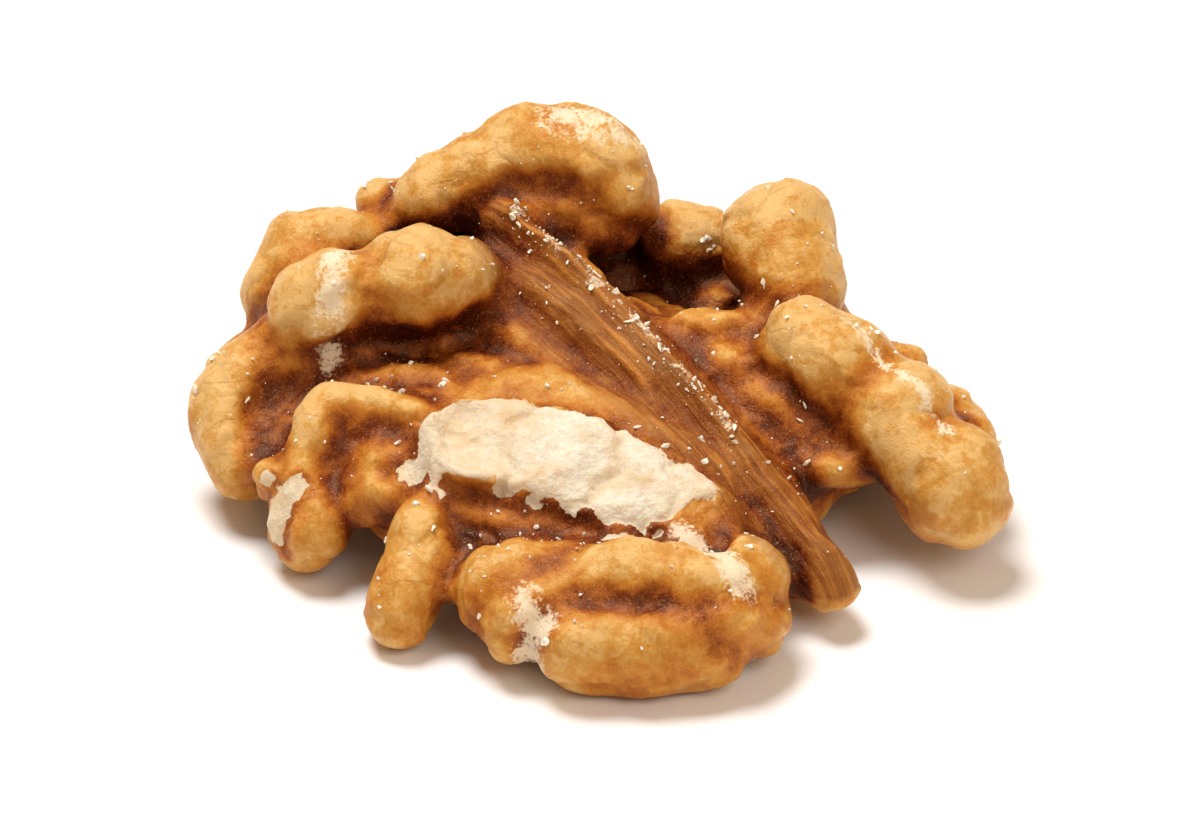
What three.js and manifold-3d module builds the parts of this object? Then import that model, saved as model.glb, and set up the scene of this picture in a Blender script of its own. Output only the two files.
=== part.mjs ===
// A walnut kernel, shelled: one half of the nut, lying on its rounded back with its inner face up.
// The ridge where the two halves met runs from the back left to the front right. Two wings of
// rounded folds stand on either side of it, and one fold in the front wing is snapped off.
//
// Millimetres. X is the longest extent, Z is up, and z = 0 is the surface that the kernel rests on.
// The origin is on that surface, below the middle of the kernel.

import * as THREE from "three";
import { mergeVertices } from "three/addons/utils/BufferGeometryUtils.js";
import Module from "manifold-3d";

const LENGTH = 30.2; // overall, along X: the finished kernel is scaled to it
const CAP_RINGS = 3; // rings in each rounded end of a fold
const INNER_FACE = { sides: 10, step: 1.3 }; // facets round a fold, and the spacing of its rings
const ROUNDED_BACK = { sides: 8, step: 1.9 };
const MASS_FACETS = { round: 16, high: 10 };
const MERGE = 1e-4; // vertices nearer than this are one

// Each fold is a rounded bar along a smooth curve.
// A row is x, y and z of the bar's middle, and its radius there.
const ridge = {
  spine: [
    [-3.2, 8.2, 6.6, 1.9], [-0.8, 5.4, 5.8, 2.1], [1.6, 2.6, 4.8, 2.2], [3.7, 0.2, 3.8, 2.1],
    [5.6, -2.2, 2.9, 1.8], [7.2, -4.4, 2.0, 1.5], [8.2, -5.7, 1.7, 1.25],
  ],
  crest: [
    [-3.3, 8.0, 8.2, 0.7], [-0.7, 5.7, 7.4, 0.7], [1.8, 2.9, 6.4, 0.6], [3.9, 0.4, 5.3, 0.6],
    [5.9, -1.9, 4.3, 0.6], [7.6, -3.9, 3.1, 0.65],
  ],
  leftFlank: [
    [-4.4, 6.4, 5.4, 1.8], [-2.0, 3.6, 4.6, 1.9], [0.6, 0.8, 3.9, 1.9], [3.0, -1.6, 3.3, 1.8],
    [5.0, -3.9, 2.6, 1.5],
  ],
  rightFlank: [[0.2, 6.8, 5.2, 1.3], [2.6, 4.4, 4.8, 1.5], [4.8, 2.2, 4.2, 1.7], [6.3, 0.3, 3.5, 1.4]],
  rightWeb: [[2.4, 4.6, 5.0, 1.5], [4.6, 3.4, 5.0, 1.6], [6.4, 1.4, 4.4, 1.6], [7.2, 0.2, 3.8, 1.2]],
};

// The wing on the left and in front.
const frontWing = {
  top: [
    [-6.4, 9.9, 8.1, 1.6], [-4.4, 10.6, 8.9, 1.8], [-2.0, 10.9, 9.6, 2.1], [-0.2, 10.5, 9.3, 2.2],
    [0.3, 10.1, 8.4, 2.0],
  ],
  topKnob: [[-8.0, 11.0, 7.2, 1.2], [-6.8, 11.0, 7.2, 1.5]],
  topWeb: [[-3.4, 8.8, 8.0, 1.4], [-1.4, 9.2, 8.2, 1.4], [0.2, 9.4, 7.6, 1.4]],
  shoulder: [[-5.2, 5.8, 7.3, 1.85], [-7.0, 5.3, 7.75, 2.15], [-8.5, 5.3, 7.3, 1.8]],
  shoulderEnd: [[-9.5, 5.1, 7.2, 2.05], [-10.6, 5.1, 6.4, 1.9], [-11.2, 5.0, 5.7, 1.6]],
  shoulderBack: [[-9.0, 9.0, 6.8, 1.6], [-10.9, 8.8, 6.5, 1.9], [-11.9, 7.8, 5.6, 1.6]],
  side: [[-9.4, 4.6, 4.8, 1.7], [-12.3, 4.8, 4.6, 1.7], [-13.5, 3.2, 3.2, 1.8], [-13.0, 1.6, 2.2, 1.6]],
  valley: [[-5.2, 2.2, 4.4, 1.6], [-7.6, 3.0, 4.2, 1.6], [-9.6, 3.2, 3.6, 1.5]],
  brow: [
    [-5.6, -0.6, 4.7, 1.2], [-7.6, 0.4, 4.9, 1.15], [-9.7, 1.0, 4.8, 1.25], [-10.6, -0.4, 3.4, 1.4],
    [-10.7, -2.2, 1.8, 1.75],
  ],
  browEnd: [[-9.8, -0.4, 3.2, 1.3], [-11.6, -0.6, 2.9, 1.3]],
  hollow: [[-6.2, -1.4, 3.6, 1.6], [-8.2, -1.6, 3.0, 1.6]],
  stub: [[-5.6, -2.6, 3.4, 1.7], [-6.4, -5.0, 2.8, 1.6], [-7.3, -6.8, 1.4, 1.5]],
  snapped: [
    [-4.8, -2.4, 5.5, 2.1], [-2.7, -2.6, 5.2, 2.4], [-0.6, -3.1, 4.7, 2.4], [1.6, -3.9, 4.1, 2.2],
    [3.5, -4.7, 3.5, 1.9],
  ],
  frontLeft: [[-3.4, -7.3, 2.4, 2.1], [-1.6, -7.0, 2.6, 2.0]],
  front: [[-2.8, -8.4, 2.1, 2.0], [0.8, -7.6, 2.6, 2.3], [4.2, -8.0, 2.7, 2.35]],
  frontLow: [[-0.9, -9.6, 1.8, 1.9], [1.4, -9.9, 1.7, 1.9], [3.9, -9.4, 1.8, 1.9]],
  frontRight: [[3.0, -6.0, 2.7, 1.9], [4.9, -7.4, 2.8, 2.1]],
};

// The wing on the right and behind.
const backWing = {
  knob: [[6.5, 8.4, 7.5, 2.35], [6.9, 6.4, 6.4, 2.1]],
  side: [
    [7.5, 2.8, 6.3, 2.1], [8.6, 2.3, 5.8, 2.3], [9.6, 1.6, 5.2, 2.1], [10.8, 0.7, 4.6, 2.4],
    [11.7, -0.5, 3.9, 2.1], [12.8, -1.6, 3.2, 2.3],
  ],
  web: [[2.4, 4.4, 5.4, 1.4], [4.6, 4.6, 5.4, 1.5], [6.4, 5.2, 5.4, 1.7]],
  far: [[2.8, 11.6, 5.2, 1.8], [5.2, 11.4, 4.4, 1.9], [7.2, 9.6, 4.2, 1.9]],
};

// Folds that turn over the rim to the rounded back, where the inner face does not show them.
const rim = {
  topRight: [[-0.6, 12.0, 7.6, 1.8], [-0.3, 13.2, 5.0, 1.9], [-0.2, 11.8, 2.4, 1.8]],
  topMiddle: [[-4.0, 11.8, 7.2, 1.8], [-4.3, 12.8, 4.8, 1.9], [-4.0, 11.4, 2.3, 1.8]],
  topLeft: [[-7.4, 10.9, 6.0, 1.6], [-7.8, 11.5, 4.2, 1.8], [-7.2, 10.0, 2.3, 1.7]],
  shoulder: [[-11.2, 8.8, 5.0, 1.7], [-10.8, 8.8, 3.2, 1.8], [-9.4, 7.6, 2.0, 1.7]],
  side: [[-13.0, 5.8, 3.4, 1.6], [-11.8, 5.2, 2.1, 1.7]],
  farLeft: [[3.0, 12.4, 3.4, 1.8], [3.2, 10.6, 1.6, 1.7]],
  farRight: [[6.2, 12.0, 3.2, 1.8], [6.6, 9.8, 1.6, 1.7]],
  knob: [[8.3, 8.8, 3.0, 1.6], [8.4, 7.6, 1.9, 1.7]],
  sideBack: [[10.6, 5.6, 3.0, 1.8], [10.2, 5.2, 1.9, 1.7]],
  sideEnd: [[12.2, 3.4, 2.8, 1.8], [13.2, 0.6, 3.0, 1.6]],
};

// The rounded back: folds that fan out from under the ridge to the rim of each wing.
const back = {
  middle: new THREE.Vector2(0.2, 1.6),
  heading: THREE.MathUtils.degToRad(-45), // of the ridge, in plan
  pitch: 3.2, // from one fold to the next, along the ridge
  places: { front: [-2.5, -1.5, -0.5, 0.5, 1.5, 2.5], back: [-2.5, -1.5, -0.5, 0.5, 1.4] }, // pitches
  fan: THREE.MathUtils.degToRad(4), // how much each fold turns away per millimetre along the ridge
  start: 1.0, // distance out from the middle line
  reach: { front: 7.6, back: 8.4 }, // distance out where the wing is widest
  halfLength: 11.5, // of the rounded back, along the ridge
  wander: 0.6, // how far a fold strays to each side
  radius: 1.72,
  lowest: 1.62, // height of a fold's middle where the kernel rests: less than its radius
  rise: { front: 0.7, back: 1.8 }, // from there to the rim
};

// Rounded masses that join the folds and close the space between them.
const masses = [
  { middle: [-1.4, 2.4, 3.6], half: [9.6, 8.4, 2.5] },
  { middle: [0.6, -3.4, 2.6], half: [5.6, 5.0, 2.0] },
  { middle: [1.4, -8.4, 2.0], half: [4.2, 2.4, 1.6] },
  { middle: [8.2, 2.6, 3.4], half: [4.0, 4.2, 1.7] },
  { middle: [-10.8, 3.2, 3.0], half: [2.6, 3.2, 1.5] },
  { middle: [4.7, 10.4, 2.6], half: [2.8, 2.0, 1.3] },
];

// Flat breaks. The first two snap the front wing's middle fold, and the last is a chip at the side.
const breaks = [
  { middle: [-0.6, -3.5, 5.6], along: [1, -0.24, -0.21], up: [0.12, -0.36, 0.92], size: [11.5, 5.6, 5] },
  { middle: [-6.0, -3.1, 6.0], along: [0.5, -0.85, 0.1], up: [-0.78, -0.5, 0.38], size: [3, 3, 2] },
  { middle: [-12.4, -1.7, 2.9], along: [0.8, -0.55, 0], up: [-0.5, -0.76, 0.42], size: [3, 3, 2] },
];

// The bar's radius at part t of its way, eased from row to row.
function radiusAlong(rows, t) {
  const at = t * (rows.length - 1);
  const i = Math.min(Math.floor(at), rows.length - 2);
  return THREE.MathUtils.lerp(rows[i][3], rows[i + 1][3], THREE.MathUtils.smoothstep(at - i, 0, 1));
}

// The rings of a rounded end, from the bar's last ring to the tip.
function capRings(frame, sign, radius) {
  return Array.from({ length: CAP_RINGS }, (_, k) => {
    const turn = ((k + 1) / CAP_RINGS) * (Math.PI / 2);
    const last = k === CAP_RINGS - 1;
    return { frame, past: sign * radius * Math.sin(turn), radius: last ? 0 : radius * Math.cos(turn) };
  });
}

// A lathed bar with rounded ends, bent along the curve through the rows' points.
function foldGeometry(rows, { sides, step }) {
  const curve = new THREE.CatmullRomCurve3(rows.map(([x, y, z]) => new THREE.Vector3(x, y, z)));
  const perRow = Math.max(1, Math.round(curve.getLength() / (rows.length - 1) / step));
  const steps = perRow * (rows.length - 1);
  const frames = curve.computeFrenetFrames(steps);
  const middleRings = Array.from({ length: steps + 1 }, (_, i) => {
    return { frame: i, past: 0, radius: radiusAlong(rows, i / steps) };
  });
  const startCap = capRings(0, -1, middleRings[0].radius).reverse();
  const endCap = capRings(steps, 1, middleRings[steps].radius);
  const rings = [...startCap, ...middleRings, ...endCap];
  const profile = rings.map((ring, i) => new THREE.Vector2(ring.radius, i));
  const geometry = new THREE.LatheGeometry(profile, sides);
  const place = geometry.attributes.position;
  const point = new THREE.Vector3();
  for (let v = 0; v < place.count; v++) {
    const ring = rings[Math.round(place.getY(v))];
    point
      .copy(curve.getPoint(ring.frame / steps))
      .addScaledVector(frames.tangents[ring.frame], ring.past)
      .addScaledVector(frames.binormals[ring.frame], place.getX(v))
      .addScaledVector(frames.normals[ring.frame], place.getZ(v));
    place.setXYZ(v, point.x, point.y, point.z);
  }
  return geometry;
}

function massGeometry({ middle, half }) {
  const { round, high } = MASS_FACETS;
  return new THREE.SphereGeometry(1, round, high).scale(...half).translate(...middle);
}

// One fold of the rounded back. side is -1 for the front wing and 1 for the back wing.
function backFoldRows(side, wing, place) {
  const offset = place * back.pitch;
  const ridgeWay = new THREE.Vector2(Math.cos(back.heading), Math.sin(back.heading));
  const start = back.middle.clone().addScaledVector(ridgeWay, offset);
  const heading = back.heading + side * (Math.PI / 2 - back.fan * offset);
  const out = new THREE.Vector2(Math.cos(heading), Math.sin(heading));
  const across = new THREE.Vector2(-out.y, out.x);
  const reach = back.reach[wing] * Math.sqrt(1 - (offset / back.halfLength) ** 2);
  return [0, 1, 2, 3].map((k) => {
    const part = k / 3;
    const at = start
      .clone()
      .addScaledVector(out, THREE.MathUtils.lerp(back.start, reach, part))
      .addScaledVector(across, back.wander * Math.sin(2.1 * k + 1.7 * place + side));
    return [at.x, at.y, back.lowest + back.rise[wing] * part * part, back.radius];
  });
}

function backFolds() {
  const front = back.places.front.map((place) => backFoldRows(-1, "front", place));
  const behind = back.places.back.map((place) => backFoldRows(1, "back", place));
  return [...front, ...behind];
}

// A box standing on the break, turned so that its Z is the break's normal.
function breakGeometry({ middle, along, up, size }) {
  const z = new THREE.Vector3(...up).normalize();
  const y = new THREE.Vector3(...along).cross(z).negate().normalize();
  const x = y.clone().cross(z);
  const turn = new THREE.Matrix4().makeBasis(x, y, z).setPosition(...middle);
  return new THREE.BoxGeometry(...size).translate(0, 0, size[2] / 2).applyMatrix4(turn);
}

const wasm = await Module();
wasm.setup();

// A closed geometry as a solid that can be joined and cut.
function solidOf(geometry) {
  const bare = new THREE.BufferGeometry();
  bare.setAttribute("position", geometry.attributes.position);
  bare.setIndex(geometry.index);
  const merged = mergeVertices(bare, MERGE);
  const vertProperties = new Float32Array(merged.attributes.position.array);
  const triVerts = new Uint32Array(merged.index.array);
  return new wasm.Manifold(new wasm.Mesh({ numProp: 3, vertProperties, triVerts }));
}

function geometryOf(solid) {
  const { vertProperties, triVerts } = solid.getMesh();
  const geometry = new THREE.BufferGeometry();
  geometry.setAttribute("position", new THREE.BufferAttribute(new Float32Array(vertProperties), 3));
  geometry.setIndex(new THREE.BufferAttribute(new Uint32Array(triVerts), 1));
  return geometry;
}

// All the folds and masses as one solid, broken, and pressed flat where it rests.
function kernelGeometry() {
  const inner = [ridge, frontWing, backWing].flatMap((group) => Object.values(group));
  const outer = [...Object.values(rim), ...backFolds()];
  const pieces = [
    ...inner.map((rows) => foldGeometry(rows, INNER_FACE)),
    ...outer.map((rows) => foldGeometry(rows, ROUNDED_BACK)),
    ...masses.map(massGeometry),
  ];
  const whole = pieces.map(solidOf).reduce((all, piece) => all.add(piece));
  const below = new THREE.BoxGeometry(2 * LENGTH, 2 * LENGTH, LENGTH).translate(0, 0, -LENGTH / 2);
  const cuts = [...breaks.map(breakGeometry), below].map(solidOf);
  const geometry = geometryOf(cuts.reduce((rest, cut) => rest.subtract(cut), whole));
  geometry.computeBoundingBox();
  const { min, max } = geometry.boundingBox;
  geometry.translate(-(min.x + max.x) / 2, -(min.y + max.y) / 2, -min.z);
  return geometry.scale(...Array(3).fill(LENGTH / (max.x - min.x)));
}

const skin = new THREE.MeshStandardMaterial({ color: 0xc98b45, roughness: 0.45, metalness: 0 });
const kernel = new THREE.Mesh(kernelGeometry(), skin);
kernel.name = "walnut_kernel";

const walnut = new THREE.Group();
walnut.add(kernel);

export default walnut;
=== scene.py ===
import math

import bpy
import numpy as np
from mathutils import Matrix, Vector
from mathutils.bvhtree import BVHTree
from mathutils.kdtree import KDTree


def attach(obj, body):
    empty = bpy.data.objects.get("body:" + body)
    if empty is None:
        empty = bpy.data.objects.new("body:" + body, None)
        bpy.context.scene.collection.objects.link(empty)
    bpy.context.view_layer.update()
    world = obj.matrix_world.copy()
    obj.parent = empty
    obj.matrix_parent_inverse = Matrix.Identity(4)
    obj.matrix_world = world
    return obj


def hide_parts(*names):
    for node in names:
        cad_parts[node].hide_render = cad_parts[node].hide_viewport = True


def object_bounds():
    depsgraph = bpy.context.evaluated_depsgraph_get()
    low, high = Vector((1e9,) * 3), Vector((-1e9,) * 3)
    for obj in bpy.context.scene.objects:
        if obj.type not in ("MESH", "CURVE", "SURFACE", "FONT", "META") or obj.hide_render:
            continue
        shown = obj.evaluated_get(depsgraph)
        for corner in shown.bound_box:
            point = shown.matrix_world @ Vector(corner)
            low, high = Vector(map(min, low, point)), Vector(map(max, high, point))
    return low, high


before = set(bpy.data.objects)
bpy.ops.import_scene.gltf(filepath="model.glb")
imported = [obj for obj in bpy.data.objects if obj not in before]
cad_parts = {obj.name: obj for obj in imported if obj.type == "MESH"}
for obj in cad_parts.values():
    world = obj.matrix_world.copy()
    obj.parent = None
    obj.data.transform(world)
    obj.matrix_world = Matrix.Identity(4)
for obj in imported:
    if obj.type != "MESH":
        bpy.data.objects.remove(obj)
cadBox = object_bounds()
millimetre = 0.001
cadLow, cadHigh = (np.array(corner) / millimetre for corner in cadBox)
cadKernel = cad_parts["walnut_kernel"]


def gradientNoise(points, seed):
    # smooth noise between about -1 and 1, one wave per unit
    rng = np.random.default_rng(seed)
    shuffled = rng.permutation(256)
    slopes = rng.normal(size=(256, 3))
    slopes /= np.linalg.norm(slopes, axis=1, keepdims=True)
    cell = np.floor(points).astype(int)
    inside = points - cell
    ease = inside ** 3 * (inside * (inside * 6 - 15) + 10)
    total = np.zeros(len(points))
    for dx in (0, 1):
        for dy in (0, 1):
            for dz in (0, 1):
                spot = shuffled[(cell[:, 0] + dx) & 255]
                spot = shuffled[(spot + cell[:, 1] + dy) & 255]
                spot = shuffled[(spot + cell[:, 2] + dz) & 255]
                step = inside - (dx, dy, dz)
                weight = np.abs(1 - dx - ease[:, 0]) * np.abs(1 - dy - ease[:, 1])
                weight = weight * np.abs(1 - dz - ease[:, 2])
                total += weight * (slopes[spot] * step).sum(1)
    return total * 1.6


def layeredNoise(points, seed, layers=3, falloff=0.5):
    total = np.zeros(len(points))
    size = 1.0
    for layer in range(layers):
        total += size * gradientNoise(points * 2 ** layer, seed + layer)
        size *= falloff
    return total


def cellNoise(points, seed):
    # distance to the nearest and the second nearest of the scattered points, and the nearest one's own number
    rng = np.random.default_rng(seed)
    shuffled = rng.permutation(256)
    offsets = rng.random((256, 3))
    cell = np.floor(points).astype(int)
    nearest = np.full(len(points), 9.0)
    second = np.full(len(points), 9.0)
    number = np.zeros(len(points))
    for dx in (-1, 0, 1):
        for dy in (-1, 0, 1):
            for dz in (-1, 0, 1):
                spot = shuffled[(cell[:, 0] + dx) & 255]
                spot = shuffled[(spot + cell[:, 1] + dy) & 255]
                spot = shuffled[(spot + cell[:, 2] + dz) & 255]
                away = np.linalg.norm(cell + (dx, dy, dz) + offsets[spot] - points, axis=1)
                closer = away < nearest
                second = np.where(closer, nearest, np.minimum(second, away))
                number = np.where(closer, spot / 255, number)
                nearest = np.where(closer, away, nearest)
    return nearest, second, number


def smoothStep(low, high, value):
    t = np.clip((value - low) / (high - low), 0, 1)
    return t * t * (3 - 2 * t)


def neighbourMean(values, edges):
    flat = values.reshape(len(values), -1)
    count = np.bincount(edges.ravel(), minlength=len(flat))
    columns = []
    for column in flat.T:
        total = np.bincount(edges[:, 0], column[edges[:, 1]], len(flat))
        total += np.bincount(edges[:, 1], column[edges[:, 0]], len(flat))
        columns.append(total / np.maximum(count, 1))
    return np.array(columns).T.reshape(values.shape)


def smoothed(values, edges, rounds):
    for _ in range(rounds):
        values = values + 0.5 * (neighbourMean(values, edges) - values)
    return values


def meshPoints(mesh):
    points = np.zeros(len(mesh.vertices) * 3)
    mesh.vertices.foreach_get("co", points)
    return points.reshape(-1, 3)


def meshEdges(mesh):
    edges = np.zeros(len(mesh.edges) * 2, int)
    mesh.edges.foreach_get("vertices", edges)
    return edges.reshape(-1, 2)


def meshNormals(mesh):
    normals = np.zeros(len(mesh.vertices) * 3)
    mesh.vertex_normals.foreach_get("vector", normals)
    return normals.reshape(-1, 3)


def setPoints(mesh, points):
    mesh.vertices.foreach_set("co", points.astype(np.float32).ravel())
    mesh.update()


def setMask(mesh, name, values):
    layer = mesh.attributes.get(name) or mesh.attributes.new(name, "FLOAT", "POINT")
    layer.data.foreach_set("value", np.asarray(values, np.float32))


def getMask(mesh, name):
    values = np.zeros(len(mesh.vertices), np.float32)
    mesh.attributes[name].data.foreach_get("value", values)
    return values.astype(float)


def applied(mesh, kind, **settings):
    # the mesh after one modifier
    holder = bpy.data.objects.new("holder", mesh)
    bpy.context.scene.collection.objects.link(holder)
    modifier = holder.modifiers.new("step", kind)
    for name, value in settings.items():
        setattr(modifier, name, value)
    graph = bpy.context.evaluated_depsgraph_get()
    result = bpy.data.meshes.new_from_object(holder.evaluated_get(graph), depsgraph=graph)
    bpy.data.objects.remove(holder)
    return result


kernelShape = {
    "voxel": 0.24,            # mm, of the first even mesh
    "evenVoxel": 0.23,        # mm, of the second, after the carving
    "rounding": 9,            # rounds of smoothing that turn facets into flesh
    "softening": 5,           # rounds on the second mesh
    "carveRounds": 30,        # rounds that the relief to deepen is measured against
    "fineRounds": 25,         # rounds that fine and broad relief are measured against
    "broadRounds": 140,
    "deepen": 0.5,            # how much valleys sink and crests stand out
    "lumps": (0.16, 2.4),     # height and spacing, mm
    "pillows": (0.18, 2.7),
    "dimples": (0.05, 0.9),
    "wrinkles": (0.035, 0.9),
    "crestLine": (0.50, 0.32),
    "fibres": (0.07, 0.34),
    "chips": (0.26, 1.6),
    "crumbly": (0.035, 0.35),
    "softFlesh": (0.16, 1.7),
    "lip": (0.07, 0.16, 0.12),   # of skin round a break: height, distance from the edge, width
}
fibres = {
    "strandLength": 6.0,      # mm along the ridge
    "leftReach": (0.5, 1.5),  # mm from the crest, at the back and further along
    "rightReach": 3.4,
}

# Where folds meet, and where one narrows, the CAD solid has hollow edges: they become furrows.
# Angles are how far two facets turn inward, in degrees. Widths and depths are in mm.
furrowKinds = {
    "folds": {"least": 20.0, "full": 60.0, "width": 0.55, "depth": 0.34},
    "waists": {"least": 6.0, "full": 20.0, "width": 0.50, "depth": 0.20},
}
furrowSpacing = 0.2           # mm between places along an edge

# The ridge runs straight in plan between these two places, in mm, and its crest is the highest line near it.
ridge = {
    "start": (-3.2, 6.3),
    "end": (8.3, -7.4),
    "slices": 9,
    "search": 1.3,            # mm to each side
}

# The broken flesh lies on the CAD solid's flat breaks, each known by the way it faces.
broken = {
    "tilts": [(0.12, -0.36, 0.92), (-0.78, -0.50, 0.38), (-0.50, -0.76, 0.42)],   # the snapped fold's first
    "showsTo": 0.36,          # share of the snapped fold's break, before skin covers it
    "slant": 0.8,             # of that skin's edge
    "ragged": 0.30,
    "rise": 0.12,
    "slopeStart": -0.24,      # share of the length where the left end starts to fall away
    "slope": 0.36,
    "folds": [-0.26, 0.06, 0.27],   # where folds cross it, as shares of its length
    "foldWidth": 0.26,
    "foldDepth": 0.24,
}


def distanceToWay(points, way):
    best = np.full(len(points), 99.0)
    for start, end in zip(way[:-1], way[1:]):
        step = end - start
        t = np.clip((points - start) @ step / (step @ step), 0, 1)
        best = np.minimum(best, np.linalg.norm(points - start - t[:, None] * step, axis=1))
    return best


def cadFacets():
    # the CAD solid's facets in millimetres, with corners in the same place made one
    mesh = cadKernel.data
    loose = np.array([tuple(v.co) for v in mesh.vertices]) / millimetre
    corners, numbers = np.unique(np.round(loose, 3), axis=0, return_inverse=True)
    numbers = numbers.ravel()
    facets = [[int(numbers[v]) for v in f.vertices] for f in mesh.polygons]
    middles = np.array([corners[facet].mean(0) for facet in facets])
    normals = np.array([tuple(f.normal) for f in mesh.polygons])
    areas = np.array([f.area for f in mesh.polygons]) / millimetre ** 2
    sides = {}
    for number, facet in enumerate(facets):
        for a, b in zip(facet, facet[1:] + facet[:1]):
            sides.setdefault((min(a, b), max(a, b)), []).append(number)
    return corners, facets, middles, normals, areas, sides


corners, facets, middles, normals, areas, facetsAtEdge = cadFacets()


def hollowEdges(kind):
    # places along the edges where two facets turn inward, and how sharply they do
    places = []
    strengths = []
    for (a, b), pair in facetsAtEdge.items():
        if len(pair) != 2:
            continue
        one, other = pair
        if (middles[other] - middles[one]) @ normals[one] <= 0:
            continue
        angle = math.degrees(math.acos(max(-1, min(1, normals[one] @ normals[other]))))
        if angle < kind["least"]:
            continue
        length = np.linalg.norm(corners[b] - corners[a])
        for t in np.linspace(0, 1, 2 + int(length / furrowSpacing)):
            places.append(corners[a] + t * (corners[b] - corners[a]))
            strengths.append(min(1.0, (angle - kind["least"]) / (kind["full"] - kind["least"])))
    tree = KDTree(len(places))
    for number, place in enumerate(places):
        tree.insert(place, number)
    tree.balance()
    print("hollow edges:", len(places), "places")
    return tree, np.array(strengths)


def furrowDepth(points):
    wander = np.stack([gradientNoise(points / 1.3, 71 + k) for k in range(3)], 1) * 0.18
    depth = np.zeros(len(points))
    line = np.zeros(len(points))
    for name, kind in furrowKinds.items():
        tree, strengths = hollows[name]
        found = [tree.find(place) for place in points + wander]
        away = np.array([hit[2] for hit in found])
        shape = strengths[[hit[1] for hit in found]] * np.exp(-(away / kind["width"]) ** 2)
        depth = np.maximum(depth, kind["depth"] * shape)
        line = np.maximum(line, shape * kind["depth"] / furrowKinds["folds"]["depth"])
    return depth, line


def flatBreaks():
    # the flat that faces each way, with its plane and its outline
    found = []
    for tilt in broken["tilts"]:
        up = np.array(tilt) / np.linalg.norm(tilt)
        heights = np.round((middles * up).sum(1), 1)
        facing = normals @ up > 0.9995
        best = max(set(heights[facing]), key=lambda height: areas[facing & (heights == height)].sum())
        flat = np.flatnonzero(facing & (np.abs(heights - best) < 0.15))
        inside = set(flat.tolist())
        outline = [key for key, pair in facetsAtEdge.items() if sum(f in inside for f in pair) == 1]
        area = areas[flat].sum()
        middle = (middles[flat] * areas[flat, None]).sum(0) / area
        spread = middles[flat] - middle
        alongWay = np.linalg.eigh((spread * areas[flat, None]).T @ spread)[1][:, -1]
        alongWay = alongWay * np.sign(alongWay[0])
        acrossWay = np.cross(up, alongWay)
        ways = (alongWay, acrossWay)
        ends = [[(corners[v] - middle) @ way for way in ways] for key in outline for v in key]
        segments = np.array(ends).reshape(-1, 2, 2)
        length = np.ptp(segments[:, :, 0])
        found.append({"up": up, "middle": middle, "along": alongWay, "across": acrossWay,
                      "segments": segments, "length": length})
        print("break:", round(float(area), 1), "mm2,", round(float(length), 1), "mm long")
    found[0]["showsTo"] = broken["showsTo"] * found[0]["length"]
    return found


def outlineDistance(along, across, segments):
    # distance to the outline, negative inside
    place = np.stack([along, across], 1)
    best = np.full(len(along), 99.0)
    inside = np.zeros(len(along), bool)
    for start, end in segments:
        step = end - start
        t = np.clip((place - start) @ step / (step @ step + 1e-9), 0, 1)
        best = np.minimum(best, np.linalg.norm(place - start - t[:, None] * step, axis=1))
        crosses = (start[1] > across) != (end[1] > across)
        reach = start[0] + (across - start[1]) / (end[1] - start[1] + 1e-9) * step[0]
        inside ^= crosses & (along < reach)
    return np.where(inside, -best, best)


def breakPlace(points, flat):
    offset = points - flat["middle"]
    return offset @ flat["along"], offset @ flat["across"], offset @ flat["up"]


def breakFolds(along, across, flat):
    # soft folds across the broken flesh
    depth = np.zeros(len(along))
    for share in broken["folds"]:
        bend = 0.35 * np.sin(1.7 * across + 9 * share) + 0.12 * np.sin(4.3 * across)
        away = along - share * flat["length"] - bend
        depth = np.maximum(depth, broken["foldDepth"] * np.exp(-(away / broken["foldWidth"]) ** 2))
    return depth


def breakMask(points, normals, flat):
    along, across, height = breakPlace(points, flat)
    close = np.abs(height) < 2.0
    edge = np.full(len(points), 9.0)
    edge[close] = outlineDistance(along[close], across[close], flat["segments"])
    if "showsTo" in flat:
        edge = np.maximum(edge, (along - broken["slant"] * across - flat["showsTo"]) / (1 + broken["slant"]))
    edge = edge + broken["ragged"] * layeredNoise(points / 0.8, 11, 3)
    near = smoothStep(1.1, 0.7, np.abs(height)) * smoothStep(-0.25, 0.1, normals @ flat["up"])
    return edge, near


def crestLine():
    # slices across the ridge: the highest place of each, eased along the line
    start = np.array(ridge["start"])
    end = np.array(ridge["end"])
    way = (end - start) / np.linalg.norm(end - start)
    acrossWay = np.array([-way[1], way[0]])
    tree = BVHTree.FromPolygons([Vector(p) for p in corners], facets)
    shifts = []
    heights = []
    for part in np.linspace(0, 1, ridge["slices"]):
        best = (-1.0, 0.0, 0.0)
        for shift in np.linspace(-ridge["search"], ridge["search"], 21):
            spot = start + part * (end - start) + shift * acrossWay
            hit = tree.ray_cast(Vector((*spot, 50.0)), Vector((0, 0, -1)))[0]
            if hit is not None and hit.z - 0.25 * abs(shift) > best[0]:
                best = (hit.z - 0.25 * abs(shift), shift, hit.z)
        shifts.append(best[1])
        heights.append(best[2])
    for _ in range(2):
        shifts[1:-1] = [(a + 2 * b + c) / 4 for a, b, c in zip(shifts, shifts[1:], shifts[2:])]
    parts = np.linspace(0, 1, ridge["slices"])
    plan = start + parts[:, None] * (end - start) + np.array(shifts)[:, None] * acrossWay
    return np.column_stack([plan, heights])


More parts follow.
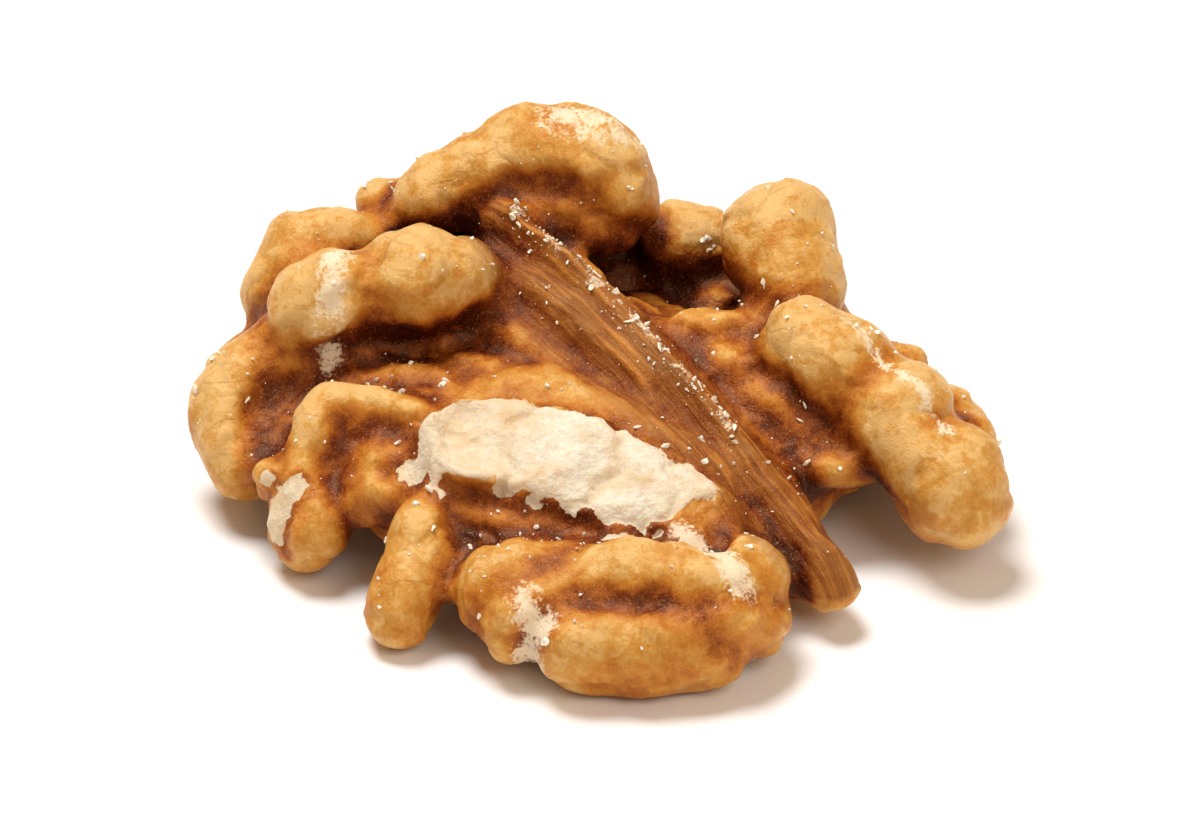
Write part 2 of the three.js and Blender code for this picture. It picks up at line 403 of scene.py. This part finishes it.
def ridgeCoordinates(points):
    # distance from the ridge's crest line in plan, the way along it and the side, in millimetres
    best = np.full(len(points), 99.0)
    along = np.zeros(len(points))
    side = np.zeros(len(points))
    travelled = 0.0
    for start, end in zip(crest[:-1], crest[1:]):
        way = (end - start)[:2]
        length = np.linalg.norm(way)
        way = way / length
        offset = points[:, :2] - start[:2]
        straight = offset @ way
        t = np.clip(straight, 0, length)
        away = np.linalg.norm(offset - t[:, None] * way, axis=1)
        if travelled == 0:
            away = away + 1.5 * np.maximum(-straight, 0)
        closer = away < best
        best = np.where(closer, away, best)
        along = np.where(closer, travelled + t, along)
        side = np.where(closer, offset @ np.array([-way[1], way[0]]), side)
        travelled += length
    return best, along, side


def openness(mesh, points, normals, rays=24, reach=5.0):
    # how much of the outside each point sees, 0 to 1, by casting rays
    tree = BVHTree.FromPolygons([Vector(p) for p in points], [tuple(f.vertices) for f in mesh.polygons])
    rng = np.random.default_rng(5)
    spread = rng.normal(size=(rays, 3))
    spread /= np.linalg.norm(spread, axis=1, keepdims=True)
    seen = np.zeros(len(points))
    for i, (point, normal) in enumerate(zip(points, normals)):
        start = Vector(point + normal * 0.15)
        free = 0
        for way in spread:
            if tree.ray_cast(start, Vector(way * 0.97 + normal).normalized(), reach)[0] is None:
                free += 1
        seen[i] = free / rays
    return seen


def scaledMatrix(size):
    return ((size, 0, 0, 0), (0, size, 0, 0), (0, 0, size, 0), (0, 0, 0, 1))


hollows = {name: hollowEdges(kind) for name, kind in furrowKinds.items()}
breaks = flatBreaks()
crest = crestLine()


def carved(mesh):
    # furrows, the crest line and the flat breaks
    edges = meshEdges(mesh)
    points = smoothed(meshPoints(mesh), edges, kernelShape["rounding"])
    setPoints(mesh, points)
    normals = meshNormals(mesh)
    relief = ((points - smoothed(points, edges, kernelShape["carveRounds"])) * normals).sum(1)
    lift = kernelShape["deepen"] * np.clip(smoothed(relief, edges, 3), -0.5, 0.4)
    lift -= furrowDepth(points)[0]
    fromCrest = ridgeCoordinates(points)[0]
    crestRise, crestWidth = kernelShape["crestLine"]
    crestShape = crestRise * np.exp(-(fromCrest / crestWidth) ** 2)
    crestShape -= 0.3 * crestRise * np.exp(-((fromCrest - 3 * crestWidth) / crestWidth) ** 2)
    lift += crestShape * smoothStep(0.0, 0.4, normals[:, 2])
    placed = points + normals * lift[:, None]
    for number, flat in enumerate(breaks):
        along, across, height = breakPlace(points, flat)
        edge, near = breakMask(points, normals, flat)
        onBreak = (smoothStep(0.15, -0.35, edge) * near)[:, None]
        level = np.full(len(points), broken["rise"])
        if number == 0:
            level -= broken["slope"] * np.maximum(broken["slopeStart"] * flat["length"] - along, 0)
        flattened = points + np.clip(level - height, -1.0, 1.3)[:, None] * flat["up"]
        placed = placed * (1 - onBreak) + flattened * onBreak
    placed[:, 2] = np.maximum(placed[:, 2], 0)
    setPoints(mesh, placed)
    return mesh


def kernelCoarse():
    source = cadKernel.data.copy()
    source.transform(scaledMatrix(1 / millimetre))
    rough = applied(source, "REMESH", mode="VOXEL", voxel_size=kernelShape["voxel"])
    mesh = applied(carved(rough), "REMESH", mode="VOXEL", voxel_size=kernelShape["evenVoxel"])
    edges = meshEdges(mesh)
    points = smoothed(meshPoints(mesh), edges, kernelShape["softening"])
    setPoints(mesh, points)
    normals = meshNormals(mesh)
    fine = ((points - smoothed(points, edges, kernelShape["fineRounds"])) * normals).sum(1)
    broad = ((points - smoothed(points, edges, kernelShape["broadRounds"])) * normals).sum(1)
    seen = openness(mesh, points, normals, 24)
    setMask(mesh, "seen", smoothed(seen, edges, 3))
    setMask(mesh, "fineRelief", smoothed(fine, edges, 2))
    setMask(mesh, "broadRelief", smoothed(broad, edges, 3))
    print("even mesh:", len(points), "points")
    return mesh


def skinRelief(points, warp, strands, skin, fibre):
    # lumps, pillows, dimples and wrinkles of the coat, and the strands of the ridge
    shape = kernelShape
    high, spacing = shape["lumps"]
    lift = high * gradientNoise(points / spacing + 3.1, 21) * skin * (1 - 0.8 * fibre)
    high, spacing = shape["pillows"]
    nearest, second, _ = cellNoise((points + 0.5 * warp) / spacing, 24)
    lift += high * (smoothStep(0.0, 0.45, second - nearest) - 0.7) * skin * (1 - 0.9 * fibre)
    high, spacing = shape["dimples"]
    lift += high * gradientNoise(points / spacing, 22) * skin
    high, spacing = shape["wrinkles"]
    folded = 1 - np.abs(gradientNoise((points + 0.5 * warp) / spacing, 35))
    lift -= high * smoothStep(0.82, 1.0, folded) * skin * (1 - 0.5 * fibre)
    return lift + shape["fibres"][0] * strands * fibre


def brokenRelief(points, warp):
    # shallow steps between chips, soft swells and grain
    shape = kernelShape
    high, spacing = shape["chips"]
    nearest, second, number = cellNoise((points + 0.35 * warp) / spacing, 51)
    lift = high * (number - 0.5) * smoothStep(0.0, 0.3, second - nearest)
    high, spacing = shape["softFlesh"]
    lift += high * gradientNoise(points / spacing, 57) - 0.06
    high, spacing = shape["crumbly"]
    return lift + high * layeredNoise(points / spacing, 55, 2)


# Shares of the scale of tones, from dark to pale. Most of them paint shade into the coat's colour: darker
# where little of the outside is seen, in the furrows and towards the foot, paler where much of it is seen.
toneAndShadeShares = {
    "base": 0.16,
    "openLight": 0.40,             # painted light: paler where much of the outside is seen
    # paler crests and darker hollows: partly the coat's own tone, partly painted highlight and shade
    "broadRelief": 0.28,
    "fineRelief": 0.16,
    # painted shade in the furrows
    "creaseShade": 0.34,
    "hiddenShade": 0.46,           # painted shade where little of the outside is seen
    "low": 0.20,              # painted shade, darker towards the foot
    "blotch": (0.10, 4.2),    # share, and spacing in mm
}


def skinToneAndShade(mesh, points, height, lift):
    # the coat's tone with painted light and shade: paler where open, darker where hidden, in furrows and
    # towards the foot; blotched at random
    shares = toneAndShadeShares
    seen = getMask(mesh, "seen")
    toneAndShade = shares["base"] + shares["openLight"] * smoothStep(0.0, 0.92, seen)
    toneAndShade += shares["broadRelief"] * smoothStep(-0.30, 0.45, getMask(mesh, "broadRelief"))
    toneAndShade += shares["fineRelief"] * smoothStep(-0.10, 0.14, getMask(mesh, "fineRelief") + 0.35 * lift)
    toneAndShade -= shares["creaseShade"] * furrowDepth(points)[1]
    toneAndShade -= shares["hiddenShade"] * smoothStep(0.56, 0.20, seen)
    toneAndShade -= shares["low"] * smoothStep(0.46, 0.12, height)
    blotch, spacing = shares["blotch"]
    toneAndShade += blotch * layeredNoise(points / spacing, 81, 2)
    return np.clip(toneAndShade, 0, 1)


def brokenShade(lengthShare, folds, edge):
    # the broken flesh is greyer at both ends, in its folds and along its edge; the grey at the left end,
    # which faces away from the light, and in the folds is painted shade
    ends = 0.55 * smoothStep(-0.18, -0.28, lengthShare) + 0.35 * smoothStep(0.16, 0.32, lengthShare)
    return np.clip(ends + 1.6 * folds + 0.5 * smoothStep(0.45, 0.0, -edge), 0, 1)


def kernelFine(coarse):
    mesh = applied(coarse, "SUBSURF", levels=1, render_levels=1)
    points = meshPoints(mesh)
    normals = meshNormals(mesh)
    scar = np.zeros(len(points))
    edge = np.full(len(points), 9.0)
    for flat in breaks:
        ownEdge, near = breakMask(points, normals, flat)
        scar = np.maximum(scar, smoothStep(0.10, -0.10, ownEdge) * near)
        edge = np.where(near > 0.5, np.minimum(edge, ownEdge), edge)
    skin = 1 - scar

    away, along, side = ridgeCoordinates(points)
    height = (points[:, 2] - cadLow[2]) / (cadHigh[2] - cadLow[2])
    first, last = fibres["leftReach"]
    reach = np.where(side > 0, first + (last - first) * smoothStep(0.5, 4.0, along), fibres["rightReach"])
    fibre = smoothStep(1.0, 0.55, away / reach) * smoothStep(-0.1, 0.4, normals[:, 2])
    fibre *= smoothStep(0.06, 0.16, height) * skin
    warp = np.stack([gradientNoise(points / 1.6, 31 + k) for k in range(3)], 1)
    strandWidth = kernelShape["fibres"][1]
    strandPlace = np.stack([side / strandWidth, along / fibres["strandLength"], np.zeros(len(points))], 1)
    strands = layeredNoise(strandPlace + 0.3 * warp * np.array([1, 0.2, 0]), 41, 2)

    mainAlong, mainAcross, _ = breakPlace(points, breaks[0])
    folds = breakFolds(mainAlong, mainAcross, breaks[0]) * scar
    lift = skinRelief(points, warp, strands, skin, fibre) + scar * brokenRelief(points, warp) - folds
    lipHeight, lipPlace, lipWidth = kernelShape["lip"]
    lift += lipHeight * np.exp(-((edge - lipPlace) / lipWidth) ** 2) * skin
    ground = smoothStep(0.0, 0.8, points[:, 2])
    points = points + normals * (lift * (0.25 + 0.75 * ground))[:, None]
    points[:, 2] = np.maximum(points[:, 2], 0.0)
    setPoints(mesh, points)

    dusting = smoothStep(0.38, 0.05, away) * smoothStep(-0.2, 0.5, gradientNoise(points / 0.7, 66))
    dusting *= 0.7 * smoothStep(14.5, 11.5, along)
    scuff = rubbedMask(points) * smoothStep(0.3, 0.6, getMask(mesh, "seen"))
    # the coat's tone, with painted shade in hidden places, in furrows and towards the foot
    setMask(mesh, "toneAndShade", skinToneAndShade(mesh, points, height, lift))
    setMask(mesh, "scarShade", brokenShade(mainAlong / breaks[0]["length"], folds, edge))
    setMask(mesh, "scar", scar)
    setMask(mesh, "fibre", fibre)
    setMask(mesh, "strands", 0.5 + 0.5 * strands)
    setMask(mesh, "ridgeSide", side)
    setMask(mesh, "ridgeAlong", along)
    setMask(mesh, "scuff", np.maximum(scuff, dusting))
    print("fine mesh:", len(points), "points,", len(mesh.polygons), "faces")
    return mesh


def newNode(tree, kind, inputs=None, **settings):
    node = tree.nodes.new(kind)
    for name, value in settings.items():
        setattr(node, name, value)
    for name, value in (inputs or {}).items():
        socket = node.inputs[name]
        if isinstance(value, bpy.types.NodeSocket):
            tree.links.new(value, socket)
        else:
            socket.default_value = value
    return node


def maths(tree, operation, a, b=0.0, clamp=False):
    return newNode(tree, "ShaderNodeMath", {0: a, 1: b}, operation=operation, use_clamp=clamp).outputs[0]


def mixColor(tree, share, a, b, blend="MIX"):
    node = newNode(tree, "ShaderNodeMix", data_type="RGBA", blend_type=blend)
    for index, value in ((0, share), (6, a), (7, b)):
        if isinstance(value, bpy.types.NodeSocket):
            tree.links.new(value, node.inputs[index])
        else:
            node.inputs[index].default_value = value
    return node.outputs[2]


def stepBetween(tree, value, low, high, first=0.0, last=1.0):
    node = newNode(tree, "ShaderNodeMapRange", interpolation_type="SMOOTHSTEP")
    tree.links.new(value, node.inputs[0])
    for index, number in ((1, low), (2, high), (3, first), (4, last)):
        node.inputs[index].default_value = number
    return node.outputs[0]


def maskNode(tree, name):
    return newNode(tree, "ShaderNodeAttribute", attribute_name=name).outputs["Fac"]


def noiseNode(tree, place, scale, detail=3.0, rough=0.55, distortion=0.0):
    inputs = {"Vector": place, "Scale": scale, "Detail": detail, "Roughness": rough, "Distortion": distortion}
    return newNode(tree, "ShaderNodeTexNoise", inputs).outputs["Fac"]


def color(red, green, blue):
    return (red, green, blue, 1.0)


def makeGroup(name, inputs, outputs):
    group = bpy.data.node_groups.new(name, "ShaderNodeTree")
    for label, kind, value in inputs:
        socket = group.interface.new_socket(label, in_out="INPUT", socket_type=kind)
        if value is not None:
            socket.default_value = value
    for label, kind in outputs:
        group.interface.new_socket(label, in_out="OUTPUT", socket_type=kind)
    return group, group.nodes.new("NodeGroupInput").outputs, group.nodes.new("NodeGroupOutput").inputs


kernelFinish = {
    "tonesAndShades": [
        (0.0, color(0.055, 0.005, 0.001)), (0.22, color(0.17, 0.026, 0.003)),
        (0.46, color(0.37, 0.098, 0.009)), (0.66, color(0.53, 0.195, 0.022)),
        (0.86, color(0.62, 0.315, 0.066)), (1.0, color(0.72, 0.45, 0.165)),
    ],
    "membrane": color(0.17, 0.032, 0.004),
    "strand": color(0.60, 0.24, 0.042),
    "vein": color(0.20, 0.045, 0.008),
    "flesh": color(0.83, 0.78, 0.65),
    "fleshDeepAndShade": color(0.72, 0.54, 0.33),
    "crumb": color(0.94, 0.89, 0.77),
    "dust": color(0.86, 0.74, 0.54),
    "speck": color(0.60, 0.33, 0.10),
}

# Folds whose tops are rubbed pale: two places on the fold in plan, width and strength, in mm.
rubbed = {
    "topFold": ((-1.5, 9.0), (0.5, 8.8), 1.3, 0.75),
    "shoulder": ((-9.5, 3.6), (-9.8, 2.0), 0.8, 1.0),
    "frontRight": ((3.0, -7.7), (5.0, -10.8), 0.8, 1.1),
    "frontLeft": ((-2.8, -11.0), (-2.0, -12.0), 0.8, 1.0),
    "sideFold": ((9.0, 0.8), (12.6, -3.0), 0.5, 0.65),
}


def rubbedMask(points):
    # a cone across each way, so that noise can fray its edges
    mask = np.zeros(len(points))
    for start, end, width, strength in rubbed.values():
        away = distanceToWay(points[:, :2], [np.array(start), np.array(end)])
        mask = np.maximum(mask, strength * np.clip(1 - away / width, 0, 1))
    return mask


def chalkGroup():
    # crumbly cream flesh: color and height
    group, given, made = makeGroup("chalkyFlesh", [
        ("Place", "NodeSocketVector", None), ("Light", "NodeSocketColor", kernelFinish["flesh"]),
        ("Deep", "NodeSocketColor", kernelFinish["fleshDeepAndShade"]),
    ], [("Color", "NodeSocketColor"), ("Height", "NodeSocketFloat")])
    place = given["Place"]
    broad = noiseNode(group, place, 0.55, 4.0, 0.6)
    grain = noiseNode(group, place, 4.5, 4.0, 0.65)
    tint = mixColor(group, stepBetween(group, broad, 0.46, 0.70), given["Light"], given["Deep"])
    tint = mixColor(group, stepBetween(group, grain, 0.60, 0.42, 0.0, 0.35), tint, given["Deep"])
    group.links.new(tint, made["Color"])
    group.links.new(grain, made["Height"])
    return group


def placeInMillimetres(tree):
    where = newNode(tree, "ShaderNodeTexCoord").outputs["Object"]
    scale = newNode(tree, "ShaderNodeVectorMath", {0: where, "Scale": 1 / millimetre}, operation="SCALE")
    return scale.outputs[0]


def toneRamp(tree, toneAndShade, stops):
    ramp = newNode(tree, "ShaderNodeValToRGB", {"Fac": toneAndShade})
    while len(ramp.color_ramp.elements) < len(stops):
        ramp.color_ramp.elements.new(0.5)
    for element, (position, tint) in zip(ramp.color_ramp.elements, stops):
        element.position = position
        element.color = tint
    return ramp.outputs["Color"]


def kernelMaterial():
    finish = kernelFinish
    material = bpy.data.materials.new("kernelCoat")
    material.use_nodes = True
    tree = material.node_tree
    tree.nodes.clear()
    output = newNode(tree, "ShaderNodeOutputMaterial")
    shader = newNode(tree, "ShaderNodeBsdfPrincipled")
    tree.links.new(shader.outputs[0], output.inputs["Surface"])
    place = placeInMillimetres(tree)
    scar, fibre, toneAndShade, strands, scuff = (
        maskNode(tree, name) for name in ("scar", "fibre", "toneAndShade", "strands", "scuff"))
    broad = noiseNode(tree, place, 0.38, 3.0, 0.55, 0.3)
    mottle = noiseNode(tree, place, 1.5, 5.0, 0.6, 0.4)
    fine = noiseNode(tree, place, 7.0, 4.0, 0.6)
    gritty = noiseNode(tree, place, 14.0, 2.0, 0.6)

    # coat: one scale of tones with painted shade, from the shaded deep furrows to the pale crests, blotched
    # at three sizes
    toneAndShade = maths(tree, "ADD", toneAndShade, stepBetween(tree, broad, 0.3, 0.7, -0.10, 0.10))
    toneAndShade = maths(tree, "ADD", toneAndShade, stepBetween(tree, mottle, 0.3, 0.7, -0.13, 0.13))
    toneAndShade = maths(tree, "ADD", toneAndShade, stepBetween(tree, fine, 0.3, 0.7, -0.06, 0.06), True)
    coat = toneRamp(tree, toneAndShade, finish["tonesAndShades"])

    # the ridge: long strands, dark between them
    lengthways = newNode(tree, "ShaderNodeCombineXYZ", {
        "X": maths(tree, "MULTIPLY", maskNode(tree, "ridgeSide"), 5.5),
        "Y": maths(tree, "MULTIPLY", maskNode(tree, "ridgeAlong"), 0.5),
    }).outputs[0]
    thread = noiseNode(tree, lengthways, 1.0, 3.0, 0.6, 0.3)
    strandShare = maths(tree, "ADD", stepBetween(tree, strands, 0.35, 0.95, 0.0, 0.6),
                        stepBetween(tree, thread, 0.40, 0.70, 0.0, 0.55), True)
    # fewer pale strands where the tone is darker, painted shade included
    strandShare = maths(tree, "MULTIPLY", strandShare, stepBetween(tree, toneAndShade, 0.15, 0.8, 0.25, 1.0))
    membrane = mixColor(tree, strandShare, finish["membrane"], finish["strand"])
    # where the tone is darkest, painted shade included, the dark coat shows instead of the ridge's strands
    fibreShare = maths(tree, "MULTIPLY", maths(tree, "MULTIPLY", fibre, 0.85),
                       stepBetween(tree, toneAndShade, 0.12, 0.5))
    coat = mixColor(tree, fibreShare, coat, membrane)

    # thin veins, only here and there
    wander = newNode(tree, "ShaderNodeCombineXYZ", {"X": mottle, "Y": broad}).outputs[0]
    veinPlace = newNode(tree, "ShaderNodeVectorMath", {0: place, 1: wander}, operation="ADD").outputs[0]
    cells = newNode(tree, "ShaderNodeTexVoronoi", {"Vector": veinPlace, "Scale": 0.42},
                    feature="DISTANCE_TO_EDGE")
    vein = maths(tree, "MULTIPLY", stepBetween(tree, cells.outputs["Distance"], 0.03, 0.0),
                 stepBetween(tree, broad, 0.48, 0.62))
    coat = mixColor(tree, maths(tree, "MULTIPLY", vein, 0.16), coat, finish["vein"])

    # fine golden specks, most where the skin is darker, painted shade included
    speckShare = maths(tree, "MULTIPLY", stepBetween(tree, gritty, 0.60, 0.68),
                       stepBetween(tree, toneAndShade, 0.85, 0.35, 0.1, 0.4))
    coat = mixColor(tree, speckShare, coat, finish["speck"])

    # rubbed places and flesh where it is broken
    chalk = newNode(tree, "ShaderNodeGroup", {}, node_tree=chalkGroup())
    tree.links.new(place, chalk.inputs["Place"])
    chalk.inputs["Light"].default_value = finish["flesh"]
    chalk.inputs["Deep"].default_value = finish["fleshDeepAndShade"]
    fray = maths(tree, "ADD", maths(tree, "MULTIPLY", maths(tree, "SUBTRACT", mottle, 0.5), 2.0),
                 maths(tree, "MULTIPLY", maths(tree, "SUBTRACT", fine, 0.5), 1.8))
    worn = maths(tree, "MULTIPLY", maths(tree, "ADD", scuff, fray), stepBetween(tree, scuff, 0.0, 0.12))
    paleShare = stepBetween(tree, worn, 0.22, 0.75)
    surface = mixColor(tree, maths(tree, "MULTIPLY", paleShare, 0.85), coat, finish["dust"])
    ragged = maths(tree, "MULTIPLY", maths(tree, "SUBTRACT", fine, 0.5), 0.8)
    scarEdge = stepBetween(tree, maths(tree, "ADD", scar, ragged), 0.35, 0.6)
    # painted shade on the broken flesh, at its left end and in its folds; also greyer along its edge
    shade = maths(tree, "MULTIPLY", maskNode(tree, "scarShade"), 0.6)
    openFlesh = mixColor(tree, shade, chalk.outputs["Color"], finish["fleshDeepAndShade"])
    surface = mixColor(tree, scarEdge, surface, openFlesh)
    tree.links.new(surface, shader.inputs["Base Color"])

    gloss = stepBetween(tree, fine, 0.3, 0.7, 0.30, 0.46)
    gloss = maths(tree, "ADD", gloss, maths(tree, "MULTIPLY", fibre, 0.12))
    gloss = maths(tree, "ADD", gloss, maths(tree, "MULTIPLY", paleShare, 0.25))
    gloss = maths(tree, "ADD", gloss, maths(tree, "MULTIPLY", scarEdge, 0.40), True)
    tree.links.new(gloss, shader.inputs["Roughness"])

    coatHeight = maths(tree, "ADD", maths(tree, "MULTIPLY", fine, 0.6), maths(tree, "MULTIPLY", mottle, 0.8))
    coatHeight = maths(tree, "ADD", coatHeight, maths(tree, "MULTIPLY", gritty, 0.25))
    coatHeight = maths(tree, "SUBTRACT", coatHeight, maths(tree, "MULTIPLY", vein, 0.3))
    threadHeight = maths(tree, "MULTIPLY", maths(tree, "MULTIPLY", thread, fibre), 1.6)
    coatHeight = maths(tree, "ADD", coatHeight, threadHeight)
    chalkHeight = maths(tree, "MULTIPLY", chalk.outputs["Height"], 2.2)
    heightMix = newNode(tree, "ShaderNodeMix", {0: scarEdge}, data_type="FLOAT")
    tree.links.new(coatHeight, heightMix.inputs[2])
    tree.links.new(chalkHeight, heightMix.inputs[3])
    relief = {"Height": heightMix.outputs[0], "Strength": 0.8, "Distance": 0.00007}
    bump = newNode(tree, "ShaderNodeBump", relief)
    tree.links.new(bump.outputs[0], shader.inputs["Normal"])
    shader.inputs["IOR"].default_value = 1.42
    shader.inputs["Specular Tint"].default_value = color(1.0, 0.70, 0.42)
    shader.inputs["Subsurface Weight"].default_value = 0.40
    shader.inputs["Subsurface Radius"].default_value = (1.0, 0.42, 0.16)
    shader.inputs["Subsurface Scale"].default_value = 0.0005
    return material


def crumbMaterial():
    material = bpy.data.materials.new("crumbFlesh")
    material.use_nodes = True
    tree = material.node_tree
    tree.nodes.clear()
    output = newNode(tree, "ShaderNodeOutputMaterial")
    shader = newNode(tree, "ShaderNodeBsdfPrincipled")
    tree.links.new(shader.outputs[0], output.inputs["Surface"])
    chalk = newNode(tree, "ShaderNodeGroup", {}, node_tree=bpy.data.node_groups["chalkyFlesh"])
    tree.links.new(placeInMillimetres(tree), chalk.inputs["Place"])
    chalk.inputs["Light"].default_value = kernelFinish["crumb"]
    chalk.inputs["Deep"].default_value = kernelFinish["dust"]
    tree.links.new(chalk.outputs["Color"], shader.inputs["Base Color"])
    gloss = stepBetween(tree, chalk.outputs["Height"], 0.2, 0.8, 0.55, 0.8)
    tree.links.new(gloss, shader.inputs["Roughness"])
    relief = {"Height": chalk.outputs["Height"], "Strength": 0.4, "Distance": 0.00003}
    bump = newNode(tree, "ShaderNodeBump", relief)
    tree.links.new(bump.outputs[0], shader.inputs["Normal"])
    return material


def addObject(name, mesh, material):
    piece = bpy.data.objects.new(name, mesh)
    mesh.materials.clear()
    mesh.materials.append(material)
    bpy.context.scene.collection.objects.link(piece)
    return piece


def makeKernel():
    mesh = kernelFine(kernelCoarse())
    mesh.transform(scaledMatrix(millimetre))
    mesh.polygons.foreach_set("use_smooth", np.ones(len(mesh.polygons), bool))
    return addObject("kernel_flesh", mesh, kernelMaterial())


crumbSettings = {"count": 1000, "smallest": 0.016, "largest": 0.10, "seed": 8}   # radii in mm


def grainShape():
    # an eight sided grain, cut once more: 18 corners, 32 faces
    corners = [(1, 0, 0), (-1, 0, 0), (0, 1, 0), (0, -1, 0), (0, 0, 1), (0, 0, -1)]
    faces = [(0, 2, 4), (2, 1, 4), (1, 3, 4), (3, 0, 4), (2, 0, 5), (1, 2, 5), (3, 1, 5), (0, 3, 5)]
    points = [np.array(c, float) for c in corners]
    middles = {}

    def middle(a, b):
        key = (min(a, b), max(a, b))
        if key not in middles:
            point = points[a] + points[b]
            points.append(point / np.linalg.norm(point))
            middles[key] = len(points) - 1
        return middles[key]

    cut = []
    for a, b, c in faces:
        ab, bc, ca = middle(a, b), middle(b, c), middle(c, a)
        cut += [(a, ab, ca), (ab, b, bc), (ca, bc, c), (ab, bc, ca)]
    return np.array(points), np.array(cut)


def makeCrumbs(kernel):
    settings = crumbSettings
    rng = np.random.default_rng(settings["seed"])
    mesh = kernel.data
    points = meshPoints(mesh) / millimetre
    normals = meshNormals(mesh)
    away, along, side = ridgeCoordinates(points)
    clumps = smoothStep(0.0, 0.7, gradientNoise(points / 3.0, 61))
    onRidge = smoothStep(0.75, 0.15, away) * smoothStep(13.5, 10.0, along)
    liking = smoothStep(-0.1, 0.7, normals[:, 2]) * (0.16 + 0.6 * clumps + 3.5 * onRidge)
    liking *= (points[:, 2] > 0.8) * (getMask(mesh, "scar") < 0.1)
    chosen = rng.choice(len(points), settings["count"], replace=False, p=liking / liking.sum())
    shape, faces = grainShape()
    allPoints = []
    allFaces = []
    for i, vertex in enumerate(chosen):
        size = settings["smallest"] + (settings["largest"] - settings["smallest"]) * rng.random() ** 3
        stretch = size * (0.45 + 0.9 * rng.random(3) + (rng.random(3) > 0.8))
        turn = np.linalg.qr(rng.normal(size=(3, 3)))[0]
        turn *= np.sign(np.linalg.det(turn))
        grain = (shape * (0.55 + 0.9 * rng.random((len(shape), 1))) * stretch) @ turn.T
        allPoints.append(grain + points[vertex] + normals[vertex] * size * 0.35)
        allFaces.append(faces + i * len(shape))
    crumbs = bpy.data.meshes.new("crumbs")
    placed = np.concatenate(allPoints) * millimetre
    crumbs.from_pydata(placed.tolist(), [], np.concatenate(allFaces).tolist())
    crumbs.update()
    return addObject("kernel_crumbs", crumbs, crumbMaterial())


studio = {
    "lift": 33.0,          # camera elevation, degrees
    "distance": 0.85,
    "seenWidth": 0.0435,   # width of the view at the kernel, metres
    "aim": (0.0, -0.0004, 0.0046),
    "floor": color(0.95, 0.945, 0.94),
    "sky": (1.0, 0.77, 0.55),
    "skyStrength": 0.35,
    "reach": 1.5,          # of the table to each side, metres
    "lights": {            # place, width, watts, tint
        "keyLight": ((-0.10, 0.12, 0.43), 0.22, 2.15, (1.0, 0.995, 1.0)),
        "fillLight": ((0.22, -0.26, 0.34), 0.30, 0.75, (1.0, 0.96, 0.90)),
    },
}


def makeFloor():
    mesh = bpy.data.meshes.new("table")
    reach = studio["reach"]
    corners = [(-reach, -reach, 0), (reach, -reach, 0), (reach, reach, 0), (-reach, reach, 0)]
    mesh.from_pydata(corners, [], [(0, 1, 2, 3)])
    material = bpy.data.materials.new("tablePaint")
    material.use_nodes = True
    shader = material.node_tree.nodes["Principled BSDF"]
    shader.inputs["Base Color"].default_value = studio["floor"]
    shader.inputs["Roughness"].default_value = 0.8
    floor = addObject("table", mesh, material)
    floor.location.z = -0.00002


def makeLight(name, place, size, power, tint):
    data = bpy.data.lights.new(name, "AREA")
    data.shape = "DISK"
    data.size = size
    data.energy = power
    data.color = tint
    light = bpy.data.objects.new(name, data)
    light.location = place
    light.rotation_euler = (-Vector(place)).to_track_quat("-Z", "Y").to_euler()
    bpy.context.scene.collection.objects.link(light)


def makeStudio():
    scene = bpy.context.scene
    world = bpy.data.worlds.new("softRoom")
    world.use_nodes = True
    background = world.node_tree.nodes["Background"]
    background.inputs["Color"].default_value = (*studio["sky"], 1)
    background.inputs["Strength"].default_value = studio["skyStrength"]
    scene.world = world
    scene.view_settings.view_transform = "Standard"
    for name, settings in studio["lights"].items():
        makeLight(name, *settings)
    camera = bpy.data.objects.new("camera", bpy.data.cameras.new("camera"))
    lift = math.radians(studio["lift"])
    aim = Vector(studio["aim"])
    back = Vector((0, -math.cos(lift), math.sin(lift)))
    camera.location = aim + back * studio["distance"]
    camera.rotation_euler = (-back).to_track_quat("-Z", "Y").to_euler()
    camera.data.sensor_width = 36
    camera.data.lens = 36 * studio["distance"] / studio["seenWidth"]
    scene.collection.objects.link(camera)
    scene.camera = camera


makeStudio()
makeFloor()
print("studio ready")
kernel = makeKernel()
print("kernel made")
crumbs = makeCrumbs(kernel)
print("crumbs made")
for piece in (kernel, crumbs):
    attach(piece, "root")
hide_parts("walnut_kernel")
